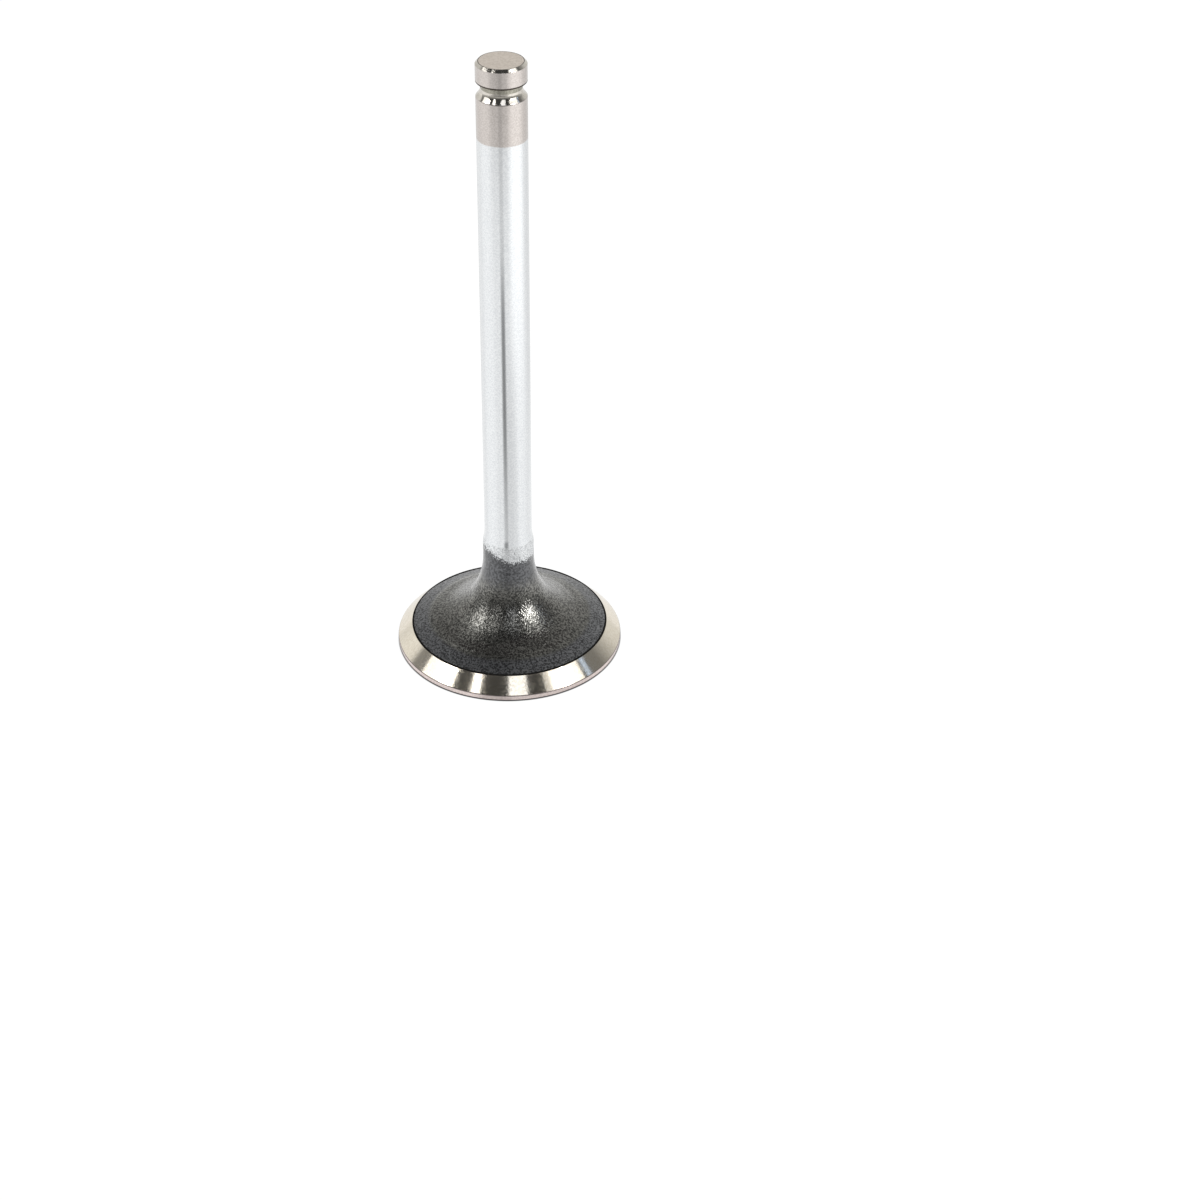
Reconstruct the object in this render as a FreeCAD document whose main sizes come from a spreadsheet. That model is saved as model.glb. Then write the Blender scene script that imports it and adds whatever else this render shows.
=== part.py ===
"""Exhaust valve of a piston engine, turned and ground from one heat-resistant steel forging.

The valve stands on its head. The centre of the combustion face is the origin, the face lies in
the XY plane, and the stem rises along +Z. All sizes are in millimetres and angles in degrees.
"""
import FreeCAD
import Part
import math
import os
import Sketcher

DOCUMENT_NAME = "EngineValve"
OUTPUT_FOLDER = "parts"
TOLERANCE = 1e-4

# Each driving size stands here once: its name, its value and what it measures.
SIZES = [
    ("overall_length", 125.0, "combustion face to tip face"),
    ("head_diameter", 45.4, "across the margin"),
    ("margin_height", 1.17, "cylindrical rim below the seat"),
    ("seat_angle", 45.0, "seat cone, measured from the face plane"),
    ("seat_inner_diameter", 39.7, "where the ground seat meets the back of the head"),
    ("back_angle", 20.0, "cone behind the seat, measured from the face plane"),
    ("head_fillet_radius", 14.0, "sweep from the back of the head into the neck"),
    ("neck_diameter", 10.2, "forged neck below the ground stem"),
    ("neck_taper_length", 2.6, "taper from the neck to the ground stem"),
    ("neck_blend_radius", 6.0, "softening of the two corners of the neck taper"),
    ("stem_foot_height", 25.9, "where the ground stem starts, above the face"),
    ("stem_diameter", 9.45, "ground and plated stem"),
    ("bead_length", 3.8, "tip face to the keeper groove"),
    ("bead_edge_radius", 0.2, "rounded edge where the bead ends in the square shoulder"),
    ("groove_floor_diameter", 7.7, "bottom of the keeper groove"),
    ("groove_floor_length", 1.75, "shoulder to the corner where floor and flank would meet"),
    ("groove_flank_length", 1.05, "height of the sloping flank back out to the stem"),
    ("groove_root_radius", 0.3, "inner corner under the shoulder"),
    ("groove_sweep_radius", 1.8, "sweep from the groove's floor into its flank"),
    ("groove_edge_radius", 0.4, "rounded edge where the flank meets the stem"),
    ("tip_chamfer", 0.5, "edge of the tip face"),
    ("face_edge_break", 0.25, "edge of the combustion face"),
    ("recess_mouth_diameter", 8.8, "forged recess in the combustion face, at its mouth"),
    ("recess_floor_diameter", 7.2, "the same recess at its floor"),
    ("recess_depth", 3.2, "depth of the recess"),
    ("recess_floor_radius", 1.4, "rounding between the floor and the wall of the recess"),
    ("recess_mouth_radius", 0.2, "rounded edge of the recess's mouth"),
]


def make_sheet(doc):
    """Put the driving sizes into a spreadsheet with one alias each."""
    sheet = doc.addObject("Spreadsheet::Sheet", "Sizes")
    for row, (alias, value, meaning) in enumerate(SIZES, start=1):
        sheet.set(f"A{row}", alias)
        sheet.set(f"B{row}", str(value))
        sheet.setAlias(f"B{row}", alias)
        sheet.set(f"C{row}", meaning)
    doc.recompute()
    return sheet


def origin_plane(body, role):
    """Return the body's own origin plane with this role."""
    for feature in body.Origin.OriginFeatures:
        if feature.Role == role:
            return feature
    raise ValueError(f"no origin plane {role}")


def new_sketch(body, name):
    """Start a sketch on the plane through the axis: its x is the radius and its y is the height."""
    sketch = body.newObject("Sketcher::SketchObject", name)
    sketch.AttachmentSupport = [(origin_plane(body, "XZ_Plane"), "")]
    sketch.MapMode = "FlatFace"
    return sketch


def add_line(sketch, start, end):
    """Draw one straight edge of a section and return its index."""
    first = FreeCAD.Vector(start[0], start[1], 0)
    last = FreeCAD.Vector(end[0], end[1], 0)
    return sketch.addGeometry(Part.LineSegment(first, last), False)


def drive(sketch, kind, *args, to):
    """Add a dimension to a sketch and tie it to an expression on the sheet."""
    index = sketch.addConstraint(Sketcher.Constraint(kind, *args))
    sketch.setExpression(f"Constraints[{index}]", to)


def set_radius_of_point(sketch, line, end, value, to):
    """Hold a line's end at a distance from the valve's axis."""
    drive(sketch, "DistanceX", -1, 1, line, end, value, to=to)


def set_height_of_point(sketch, line, end, value, to):
    """Hold a line's end at a height above the combustion face."""
    drive(sketch, "DistanceY", -1, 1, line, end, value, to=to)


def join_chain(sketch, edges, closed):
    """Join each edge's end to the next edge's start."""
    pairs = list(zip(edges, edges[1:]))
    if closed:
        pairs.append((edges[-1], edges[0]))
    for first, second in pairs:
        sketch.addConstraint(Sketcher.Constraint("Coincident", first, 2, second, 1))


def require_fixed(sketch):
    """Stop if a sketch doesn't solve or still has a free dimension."""
    if sketch.solve() != 0 or not sketch.FullyConstrained:
        raise RuntimeError(f"{sketch.Name} isn't fully constrained")


def draw_blank(body, size):
    """Half section of the whole valve without its groove, recess and edge breaks."""
    head_r = size.head_diameter / 2
    seat_r = size.seat_inner_diameter / 2
    neck_r = size.neck_diameter / 2
    stem_r = size.stem_diameter / 2
    back = math.radians(size.back_angle)
    seat_top = size.margin_height + (head_r - seat_r) * math.tan(math.radians(size.seat_angle))
    arc_end_r = neck_r + size.head_fillet_radius * (1 - math.sin(back))
    arc_end_z = seat_top + (seat_r - arc_end_r) * math.tan(back)
    arc_top_z = arc_end_z + size.head_fillet_radius * math.cos(back)
    taper_foot = size.stem_foot_height - size.neck_taper_length

    sketch = new_sketch(body, "BlankSection")
    face = add_line(sketch, (0, 0), (head_r, 0))
    margin = add_line(sketch, (head_r, 0), (head_r, size.margin_height))
    seat = add_line(sketch, (head_r, size.margin_height), (seat_r, seat_top))
    cone = add_line(sketch, (seat_r, seat_top), (arc_end_r, arc_end_z))
    centre = FreeCAD.Vector(neck_r + size.head_fillet_radius, arc_top_z, 0)
    circle = Part.Circle(centre, FreeCAD.Vector(0, 0, 1), size.head_fillet_radius)
    fillet = sketch.addGeometry(Part.ArcOfCircle(circle, math.pi, 1.5 * math.pi - back), False)
    neck = add_line(sketch, (neck_r, arc_top_z), (neck_r, taper_foot))
    taper = add_line(sketch, (neck_r, taper_foot), (stem_r, size.stem_foot_height))
    stem = add_line(sketch, (stem_r, size.stem_foot_height), (stem_r, size.overall_length))
    tip = add_line(sketch, (stem_r, size.overall_length), (0, size.overall_length))
    axis = add_line(sketch, (0, size.overall_length), (0, 0))

    join_chain(sketch, [face, margin, seat, cone], closed=False)
    join_chain(sketch, [neck, taper, stem, tip, axis, face], closed=False)
    # An arc runs from its start at the neck to its end at the cone, so both joins are tangents.
    sketch.addConstraint(Sketcher.Constraint("Tangent", cone, 2, fillet, 2))
    sketch.addConstraint(Sketcher.Constraint("Tangent", fillet, 1, neck, 1))
    sketch.addConstraint(Sketcher.Constraint("Coincident", face, 1, -1, 1))
    for level in (face, tip):
        sketch.addConstraint(Sketcher.Constraint("Horizontal", level))
    for upright in (margin, neck, stem, axis):
        sketch.addConstraint(Sketcher.Constraint("Vertical", upright))

    set_radius_of_point(sketch, margin, 2, head_r, "Sizes.head_diameter / 2")
    set_height_of_point(sketch, margin, 2, size.margin_height, "Sizes.margin_height")
    set_radius_of_point(sketch, seat, 2, seat_r, "Sizes.seat_inner_diameter / 2")
    # Both lines run inwards and up, so their directions lie these angles short of a half turn.
    drive(sketch, "Angle", seat, math.radians(180 - size.seat_angle), to="180 - Sizes.seat_angle")
    drive(sketch, "Angle", cone, math.radians(180 - size.back_angle), to="180 - Sizes.back_angle")
    drive(sketch, "Radius", fillet, size.head_fillet_radius, to="Sizes.head_fillet_radius")
    set_radius_of_point(sketch, neck, 2, neck_r, "Sizes.neck_diameter / 2")
    set_height_of_point(sketch, taper, 1, taper_foot, "Sizes.stem_foot_height - Sizes.neck_taper_length")
    set_height_of_point(sketch, taper, 2, size.stem_foot_height, "Sizes.stem_foot_height")
    set_radius_of_point(sketch, stem, 2, stem_r, "Sizes.stem_diameter / 2")
    set_height_of_point(sketch, stem, 2, size.overall_length, "Sizes.overall_length")
    require_fixed(sketch)
    return sketch


def draw_groove(body, size):
    """Section of the keeper groove: a square shoulder above and a sloping flank below."""
    outside_r = size.stem_diameter
    floor_r = size.groove_floor_diameter / 2
    stem_r = size.stem_diameter / 2
    shoulder = size.overall_length - size.bead_length
    floor_foot = shoulder - size.groove_floor_length
    flank_foot = floor_foot - size.groove_flank_length

    sketch = new_sketch(body, "GrooveSection")
    top = add_line(sketch, (outside_r, shoulder), (floor_r, shoulder))
    floor = add_line(sketch, (floor_r, shoulder), (floor_r, floor_foot))
    flank = add_line(sketch, (floor_r, floor_foot), (stem_r, flank_foot))
    foot = add_line(sketch, (stem_r, flank_foot), (outside_r, flank_foot))
    outside = add_line(sketch, (outside_r, flank_foot), (outside_r, shoulder))
    join_chain(sketch, [top, floor, flank, foot, outside], closed=True)
    for level in (top, foot):
        sketch.addConstraint(Sketcher.Constraint("Horizontal", level))
    for upright in (floor, outside):
        sketch.addConstraint(Sketcher.Constraint("Vertical", upright))

    set_radius_of_point(sketch, outside, 1, outside_r, "Sizes.stem_diameter")
    set_radius_of_point(sketch, floor, 1, floor_r, "Sizes.groove_floor_diameter / 2")
    set_height_of_point(sketch, floor, 1, shoulder, "Sizes.overall_length - Sizes.bead_length")
    drive(sketch, "DistanceY", floor, 2, floor, 1, size.groove_floor_length, to="Sizes.groove_floor_length")
    drive(sketch, "DistanceY", flank, 2, flank, 1, size.groove_flank_length, to="Sizes.groove_flank_length")
    set_radius_of_point(sketch, flank, 2, stem_r, "Sizes.stem_diameter / 2")
    require_fixed(sketch)
    return sketch


def draw_recess(body, size):
    """Section of the tapered recess in the middle of the combustion face."""
    mouth_r = size.recess_mouth_diameter / 2
    floor_r = size.recess_floor_diameter / 2

    sketch = new_sketch(body, "RecessSection")
    mouth = add_line(sketch, (0, 0), (mouth_r, 0))
    wall = add_line(sketch, (mouth_r, 0), (floor_r, size.recess_depth))
    floor = add_line(sketch, (floor_r, size.recess_depth), (0, size.recess_depth))
    axis = add_line(sketch, (0, size.recess_depth), (0, 0))
    join_chain(sketch, [mouth, wall, floor, axis], closed=True)
    sketch.addConstraint(Sketcher.Constraint("Coincident", mouth, 1, -1, 1))
    for level in (mouth, floor):
        sketch.addConstraint(Sketcher.Constraint("Horizontal", level))
    sketch.addConstraint(Sketcher.Constraint("Vertical", axis))

    set_radius_of_point(sketch, mouth, 2, mouth_r, "Sizes.recess_mouth_diameter / 2")
    set_radius_of_point(sketch, floor, 1, floor_r, "Sizes.recess_floor_diameter / 2")
    set_height_of_point(sketch, floor, 1, size.recess_depth, "Sizes.recess_depth")
    require_fixed(sketch)
    return sketch


def turn(body, kind, name, sketch):
    """Turn a section once round the valve's axis, to add or to cut material."""
    feature = body.newObject(kind, name)
    feature.Profile = sketch
    feature.ReferenceAxis = (sketch, ["V_Axis"])
    feature.Angle = 360
    body.Document.recompute()
    return feature


def cut(body, name, sketch):
    """Cut a turned section out of the body and make sure that material went."""
    before = body.Shape.Volume
    feature = turn(body, "PartDesign::Groove", name, sketch)
    if body.Shape.Volume > before - TOLERANCE:
        raise RuntimeError(f"{name} cut nothing")
    return feature


def ring_edge(shape, radius, height):
    """Name the circular edge with this radius round the valve's axis at this height."""
    for number, edge in enumerate(shape.Edges, start=1):
        curve = edge.Curve
        if not isinstance(curve, Part.Circle):
            continue
        if abs(curve.Radius - radius) < TOLERANCE and abs(curve.Center.z - height) < TOLERANCE:
            return f"Edge{number}"
    raise ValueError(f"no round edge of radius {radius} at height {height}")


def dress(body, kind, name, base, rings, alias):
    """Round or chamfer the edges at the given (radius, height) pairs by a size on the sheet."""
    feature = body.newObject(kind, name)
    feature.Base = (base, [ring_edge(base.Shape, radius, height) for radius, height in rings])
    feature.setExpression("Radius" if kind == "PartDesign::Fillet" else "Size", f"Sizes.{alias}")
    body.Document.recompute()
    return feature


def build_valve(doc, size):
    """Build the valve as one body: turned blank, keeper groove, face recess, edges."""
    body = doc.addObject("PartDesign::Body", "Valve")
    body.Label = "valve"
    stem_r = size.stem_diameter / 2
    neck_r = size.neck_diameter / 2
    groove_r = size.groove_floor_diameter / 2
    shoulder = size.overall_length - size.bead_length
    floor_foot = shoulder - size.groove_floor_length
    flank_foot = floor_foot - size.groove_flank_length
    taper_foot = size.stem_foot_height - size.neck_taper_length

    turn(body, "PartDesign::Revolution", "Blank", draw_blank(body, size))
    cut(body, "KeeperGroove", draw_groove(body, size))
    recess = cut(body, "FaceRecess", draw_recess(body, size))

    blend = dress(body, "PartDesign::Fillet", "NeckBlend", recess,
                  [(neck_r, taper_foot), (stem_r, size.stem_foot_height)], "neck_blend_radius")
    root = dress(body, "PartDesign::Fillet", "GrooveRoot", blend,
                 [(groove_r, shoulder)], "groove_root_radius")
    sweep = dress(body, "PartDesign::Fillet", "GrooveSweep", root,
                  [(groove_r, floor_foot)], "groove_sweep_radius")
    flank = dress(body, "PartDesign::Fillet", "GrooveEdge", sweep,
                  [(stem_r, flank_foot)], "groove_edge_radius")
    bead = dress(body, "PartDesign::Fillet", "BeadEdge", flank,
                 [(stem_r, shoulder)], "bead_edge_radius")
    floor = dress(body, "PartDesign::Fillet", "RecessFloor", bead,
                  [(size.recess_floor_diameter / 2, size.recess_depth)], "recess_floor_radius")
    mouth = dress(body, "PartDesign::Fillet", "RecessMouth", floor,
                  [(size.recess_mouth_diameter / 2, 0)], "recess_mouth_radius")
    tip = dress(body, "PartDesign::Chamfer", "TipChamfer", mouth,
                [(stem_r, size.overall_length)], "tip_chamfer")
    dress(body, "PartDesign::Chamfer", "FaceEdge", tip,
          [(size.head_diameter / 2, 0)], "face_edge_break")
    return body


def check_document(doc):
    """Stop if any object of the document failed to build."""
    for item in doc.Objects:
        if "Invalid" in item.State or "Error" in item.State:
            raise RuntimeError(f"{item.Name} is {item.State}")


def export(body):
    """Write one valid solid to its own STEP file."""
    shape = body.Shape
    if shape.isNull() or not shape.isValid() or len(shape.Solids) != 1:
        raise RuntimeError(f"{body.Label} isn't one valid solid")
    shape.exportStep(os.path.join(OUTPUT_FOLDER, f"{body.Label}.step"))
    box = shape.BoundBox
    print(f"{body.Label}: {shape.Volume / 1000:.3f} cm3, {len(shape.Faces)} faces,"
          f" {box.XLength:.2f} x {box.YLength:.2f} x {box.ZLength:.2f} mm")


def main():
    """Build the document, check it and write the part."""
    os.makedirs(OUTPUT_FOLDER, exist_ok=True)
    doc = FreeCAD.newDocument(DOCUMENT_NAME)
    valve = build_valve(doc, make_sheet(doc))
    doc.recompute()
    check_document(doc)
    export(valve)


main()
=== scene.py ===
"""Poppet valve of a piston engine, standing on its head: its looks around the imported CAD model.

The CAD solid is replaced by one finer turned mesh of the same form. Each stretch of its outline has a finish
of its own.
"""

import logging
import math
from dataclasses import dataclass, field, replace
from enum import Enum
from typing import NamedTuple

import bpy
from mathutils import Matrix, Vector, noise


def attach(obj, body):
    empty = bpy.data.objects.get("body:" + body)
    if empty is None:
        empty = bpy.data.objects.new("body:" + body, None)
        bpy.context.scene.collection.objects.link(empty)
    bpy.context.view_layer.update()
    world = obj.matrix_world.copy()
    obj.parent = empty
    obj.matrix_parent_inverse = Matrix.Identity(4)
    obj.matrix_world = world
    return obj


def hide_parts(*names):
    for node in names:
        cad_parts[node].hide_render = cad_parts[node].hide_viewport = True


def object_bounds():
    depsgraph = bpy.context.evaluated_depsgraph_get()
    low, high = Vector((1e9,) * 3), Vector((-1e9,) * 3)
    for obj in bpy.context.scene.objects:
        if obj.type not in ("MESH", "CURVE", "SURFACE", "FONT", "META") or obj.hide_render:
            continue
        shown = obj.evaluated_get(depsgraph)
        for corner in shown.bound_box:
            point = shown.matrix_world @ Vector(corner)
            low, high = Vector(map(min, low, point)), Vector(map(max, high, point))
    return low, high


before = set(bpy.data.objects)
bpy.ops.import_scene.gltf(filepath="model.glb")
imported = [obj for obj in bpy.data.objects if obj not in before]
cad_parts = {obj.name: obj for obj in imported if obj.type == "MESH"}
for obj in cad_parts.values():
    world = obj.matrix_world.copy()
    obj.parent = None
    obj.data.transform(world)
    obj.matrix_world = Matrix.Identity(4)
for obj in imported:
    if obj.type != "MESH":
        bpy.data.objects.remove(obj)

CAD_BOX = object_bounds()
MM = 0.001
# Sizes in millimetres that several pieces of the outline share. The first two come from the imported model.
HEAD_RADIUS = round(CAD_BOX[1][0] / MM, 2)
LENGTH = round(CAD_BOX[1][2] / MM, 2)
NECK_RADIUS = 5.1
STEM_RADIUS = 4.725
# Two places of the outline that lie closer together are one.
SAME_PLACE = 1e-6
PIECE = "valve_dressed"
CAD_NODE = "valve"

Colour = tuple[float, float, float, float]
Settings = dict[str, object]
Inputs = dict[str | int, object]

WHITE: Colour = (1.0, 1.0, 1.0, 1.0)
MIX_COLOURS: Settings = {"data_type": "RGBA", "clamp_factor": False}

log = logging.getLogger("valve")


def linear(hex_colour: str) -> Colour:
    """Turns an sRGB hex colour to linear light.

    Args:
        hex_colour: Six hex digits, such as "E6E7EA".

    Returns:
        Linear red, green, blue and an alpha of 1.
    """
    parts = [int(hex_colour[i : i + 2], 16) / 255 for i in (0, 2, 4)]
    red, green, blue = [p / 12.92 if p <= 0.04045 else ((p + 0.055) / 1.055) ** 2.4 for p in parts]
    return red, green, blue, 1.0


def add_node(tree: bpy.types.NodeTree, kind: str, settings: Settings, inputs: Inputs) -> bpy.types.Node:
    """Adds one node.

    Args:
        tree: Node tree that the node goes into.
        kind: Blender's name for the node's class.
        settings: Attributes of the node and their values.
        inputs: Sockets by name or number, each with a value or with the field or output that feeds it.

    Returns:
        The new node.
    """
    node = tree.nodes.new(kind)
    for name, value in settings.items():
        setattr(node, name, value)
    for name, value in inputs.items():
        source = value.output if isinstance(value, Field) else value
        if isinstance(source, bpy.types.NodeSocket):
            tree.links.new(source, node.inputs[name])
        else:
            node.inputs[name].default_value = source
    return node


def empty_tree(owner: bpy.types.Material | bpy.types.World) -> bpy.types.NodeTree:
    """Gives a material or a world an empty node tree.

    Args:
        owner: The material or world.

    Returns:
        The tree.
    """
    owner.use_nodes = True
    owner.node_tree.nodes.clear()
    return owner.node_tree


class Field:
    """A number that varies over a surface, over the sky or from ray to ray, as an output of a node tree."""

    def __init__(self, output: bpy.types.NodeSocket) -> None:
        """Keeps the output that carries the number."""
        self.output = output
        self.tree = output.id_data

    def work_out(self, operation: str, first: "Field | float", second: "Field | float" = 0.0) -> "Field":
        """Works out one sum in the field's own tree.

        Args:
            operation: Blender's name for the sum.
            first: First field or number.
            second: Second field or number.

        Returns:
            The result.
        """
        node = add_node(self.tree, "ShaderNodeMath", {"operation": operation}, {0: first, 1: second})
        return Field(node.outputs[0])

    def __add__(self, other: "Field | float") -> "Field":
        """Returns the field plus the other."""
        return self.work_out("ADD", self, other)

    def __sub__(self, other: "Field | float") -> "Field":
        """Returns the field less the other."""
        return self.work_out("SUBTRACT", self, other)

    def __rsub__(self, other: float) -> "Field":
        """Returns the other less the field."""
        return self.work_out("SUBTRACT", other, self)

    def __mul__(self, other: "Field | float") -> "Field":
        """Returns the field times the other."""
        return self.work_out("MULTIPLY", self, other)

    def __truediv__(self, other: "Field | float") -> "Field":
        """Returns the field divided by the other."""
        return self.work_out("DIVIDE", self, other)

    def __pow__(self, power: float) -> "Field":
        """Returns the field to a power."""
        return self.work_out("POWER", self, power)

    def at_least(self, least: "Field | float") -> "Field":
        """Returns the larger of the field and the other."""
        return self.work_out("MAXIMUM", self, least)

    def ramp(
        self,
        start: "Field | float",
        end: "Field | float",
        low: "Field | float" = 0.0,
        high: "Field | float" = 1.0,
    ) -> "Field":
        """Turns the field smoothly from one level to another.

        Args:
            start: Where the result leaves low.
            end: Where the result reaches high. It is above start.
            low: Result before start.
            high: Result after end.

        Returns:
            The result.
        """
        inputs = {"Value": self, "From Min": start, "From Max": end, "To Min": low, "To Max": high}
        node = add_node(self.tree, "ShaderNodeMapRange", {"interpolation_type": "SMOOTHSTEP"}, inputs)
        return Field(node.outputs[0])


class Fade(NamedTuple):
    """One smooth ramp of a field, in the order that Field.ramp takes.

    Attributes:
        start: Where the ramp starts.
        end: Where it ends, above start.
        low: Level before start.
        high: Level after end.
    """

    start: float
    end: float
    low: float = 0.0
    high: float = 1.0


class Place:
    """Where a point of a surface or of the sky lies, as fields.

    Attributes:
        vector: The coordinates as Blender gives them.
        across: How far the point lies to the right.
        depth: How far it lies to the back.
        height: How high it lies.
        from_axis: How far it lies from the valve's axis.
        nearest: Distance in metres under which a direction fades out.
        layering: How fast the finer layers of a grain weaken.
    """

    nearest: float = 0.001
    layering: float = 0.55

    def __init__(self, tree: bpy.types.NodeTree, coordinates: str = "Object", unit: float = MM) -> None:
        """Reads the coordinates.

        Args:
            tree: Node tree that the nodes go into.
            coordinates: Blender's name for the coordinates. A surface's are in metres.
            unit: Length in metres that the fields count in. With MM they are in millimetres.
        """
        self.tree = tree
        self.unit = unit
        self.vector = add_node(tree, "ShaderNodeTexCoord", {}, {}).outputs[coordinates]
        parts = add_node(tree, "ShaderNodeSeparateXYZ", {}, {0: self.vector}).outputs
        self.across, self.depth, self.height = (Field(part) * (1 / unit) for part in parts)
        squares = self.across * self.across + self.depth * self.depth
        self.from_axis = squares.work_out("SQRT", squares)

    def toward(self, right: float, back: float) -> Field:
        """Works out how nearly the point lies in one level direction from the axis.

        Args:
            right: Part of the direction that points to the right.
            back: Part of the direction that points to the back.

        Returns:
            1 for a point in that direction, and 0 for one at a right angle to it.
        """
        along = self.across * right + self.depth * back
        return along / self.from_axis.at_least(self.nearest / self.unit)

    def grain(self, size_mm: float, detail: float = 2.0) -> Field:
        """Makes an irregular grain.

        Args:
            size_mm: Width of one grain.
            detail: How many finer layers lie on it.

        Returns:
            Its height, between 0 and 1.
        """
        scale = 1 / (size_mm * MM)
        inputs = {"Vector": self.vector, "Scale": scale, "Detail": detail, "Roughness": self.layering}
        return Field(add_node(self.tree, "ShaderNodeTexNoise", {}, inputs).outputs[0])


class Lay(Enum):
    """Direction of the tool marks on a finish."""

    NONE = "none"
    RINGS_ON_FACE = "rings on a flat face"
    RINGS_ON_SIDE = "rings round a side"


# How many finer layers lie on the tool marks, and how fast they weaken.
MARK_DETAIL = 2.0
MARK_LAYERING = 0.6
# Heights of the grain between which its pits take the dull colour, and between which the gloss changes.
PIT_HEIGHTS = (0.35, 0.65)
GLOSS_HEIGHTS = (0.3, 0.7)
# The grain by which the skin is ground off under the plating.
WEAR_GRAIN_MM = 0.28
WEAR_DETAIL = 3.0


@dataclass(frozen=True)
class SteelFinish:
    """A steel surface as one process leaves it.

    Attributes:
        name: Material and process.
        bright: sRGB colour of the clean metal.
        dull: sRGB colour in its pits and stains.
        gloss: Roughness of the shader.
        gloss_spread: How far the roughness varies with the grain.
        grain_mm: Width of a grain.
        relief_mm: Height of the grain.
        lay: Direction of the tool marks.
        lay_pitch_mm: Distance of two tool marks.
        lay_depth_mm: Depth of the tool marks.
        stretch: How much longer a highlight is across the tool marks.
        contrast: Share of the dull colour in the deepest grains.
        metallic: 1 for bare metal, 0 for scale.
        specular: Strength of the gloss where it isn't metal.
        detail: How many finer layers lie on the grain.
        film: Share of the surface under a clear oxide film, which shines where it is seen at a slant.
        film_gloss: Roughness of that film.
    """

    name: str
    bright: str
    dull: str
    gloss: float
    gloss_spread: float
    grain_mm: float
    relief_mm: float
    lay: Lay = Lay.NONE
    lay_pitch_mm: float = 0.3
    lay_depth_mm: float = 0.0
    stretch: float = 0.0
    contrast: float = 0.6
    metallic: float = 1.0
    specular: float = 0.5
    detail: float = 2.0
    film: float = 0.0
    film_gloss: float = 0.3

    def tool_marks(self, place: Place) -> Field:
        """Makes the irregular rings that a tool or a grinding wheel leaves.

        Args:
            place: Where the surface's points lie.

        Returns:
            The height of the rings, between 0 and 1.
        """
        along = place.from_axis if self.lay is Lay.RINGS_ON_FACE else place.height
        scale = 1 / self.lay_pitch_mm
        inputs = {"W": along, "Scale": scale, "Detail": MARK_DETAIL, "Roughness": MARK_LAYERING}
        marks = add_node(place.tree, "ShaderNodeTexNoise", {"noise_dimensions": "1D"}, inputs)
        return Field(marks.outputs[0])

    def shader(self, tree: bpy.types.NodeTree) -> bpy.types.NodeSocket:
        """Builds the finish.

        Args:
            tree: Node tree of the material.

        Returns:
            The output of its shader.
        """
        place = Place(tree)
        grain = place.grain(self.grain_mm, self.detail)
        height = grain * (self.relief_mm * MM)
        if self.lay is not Lay.NONE:
            height = height + self.tool_marks(place) * (self.lay_depth_mm * MM)
        bump = add_node(tree, "ShaderNodeBump", {}, {"Height": height, "Distance": 1.0, "Strength": 1.0})
        stain = grain.ramp(*PIT_HEIGHTS, self.contrast, 0.0)
        dullest, glossiest = self.gloss + self.gloss_spread, self.gloss - self.gloss_spread
        colours = {0: stain, 6: linear(self.bright), 7: linear(self.dull)}
        inputs = {
            "Base Color": add_node(tree, "ShaderNodeMix", MIX_COLOURS, colours).outputs[2],
            "Metallic": self.metallic,
            "Specular IOR Level": self.specular,
            "Roughness": grain.ramp(*GLOSS_HEIGHTS, dullest, glossiest),
            "Normal": bump.outputs[0],
            "Anisotropic": self.stretch,
            "Coat Weight": self.film,
            "Coat Roughness": self.film_gloss,
        }
        if self.film > 0:
            inputs["Coat Normal"] = bump.outputs[0]
        if self.stretch > 0:
            round_axis = add_node(tree, "ShaderNodeTangent", {"direction_type": "RADIAL", "axis": "Z"}, {})
            inputs["Tangent"] = round_axis.outputs[0]
        return add_node(tree, "ShaderNodeBsdfPrincipled", {}, inputs).outputs[0]


# Real grinding and turning marks are 0.02 to 0.1 mm apart, and the grain of ground steel is as fine. The
# render would blur them, so each finish draws them coarser, at the pitch and the grain that it names.

# Hard chrome, ground and polished: nearly a mirror, a little bluish, with reflections drawn out along the
# stem.
HARD_CHROME = SteelFinish(
    name="hard chrome, ground and polished",
    bright="EDEFF0",
    dull="D8DBDE",
    gloss=0.13,
    gloss_spread=0.02,
    grain_mm=0.32,
    relief_mm=0.0004,
    lay=Lay.RINGS_ON_SIDE,
    lay_pitch_mm=0.4,
    lay_depth_mm=0.0003,
    stretch=0.5,
    contrast=0.6,
)
# Hardened martensitic steel, centreless ground and unplated: warmer, darker and softer than the chrome.
GROUND_TIP_STEEL = SteelFinish(
    name="hardened tip steel, centreless ground",
    bright="D3CCC7",
    dull="BDB6B1",
    gloss=0.15,
    gloss_spread=0.03,
    grain_mm=0.3,
    relief_mm=0.0006,
    lay=Lay.RINGS_ON_SIDE,
    lay_pitch_mm=0.3,
    lay_depth_mm=0.0008,
    stretch=0.5,
)
# The same steel on the tip's end face, flat ground: an even warm grey with little gloss.
GROUND_TIP_FACE = SteelFinish(
    name="hardened tip steel, face ground",
    bright="FFF3E7",
    dull="E9DED2",
    gloss=0.34,
    gloss_spread=0.05,
    grain_mm=0.4,
    relief_mm=0.0012,
)
# The same steel where a form tool cut the groove, with fine rings. Its colour is drawn greyer and darker than
# the ground steel, partly as painted shade of the groove under the bead.
TURNED_GROOVE = SteelFinish(
    name="tip steel, form turned",
    bright="ADAA9E",
    dull="827F73",
    gloss=0.24,
    gloss_spread=0.05,
    grain_mm=0.3,
    relief_mm=0.001,
    lay=Lay.RINGS_ON_SIDE,
    lay_pitch_mm=0.25,
    lay_depth_mm=0.001,
)
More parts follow.
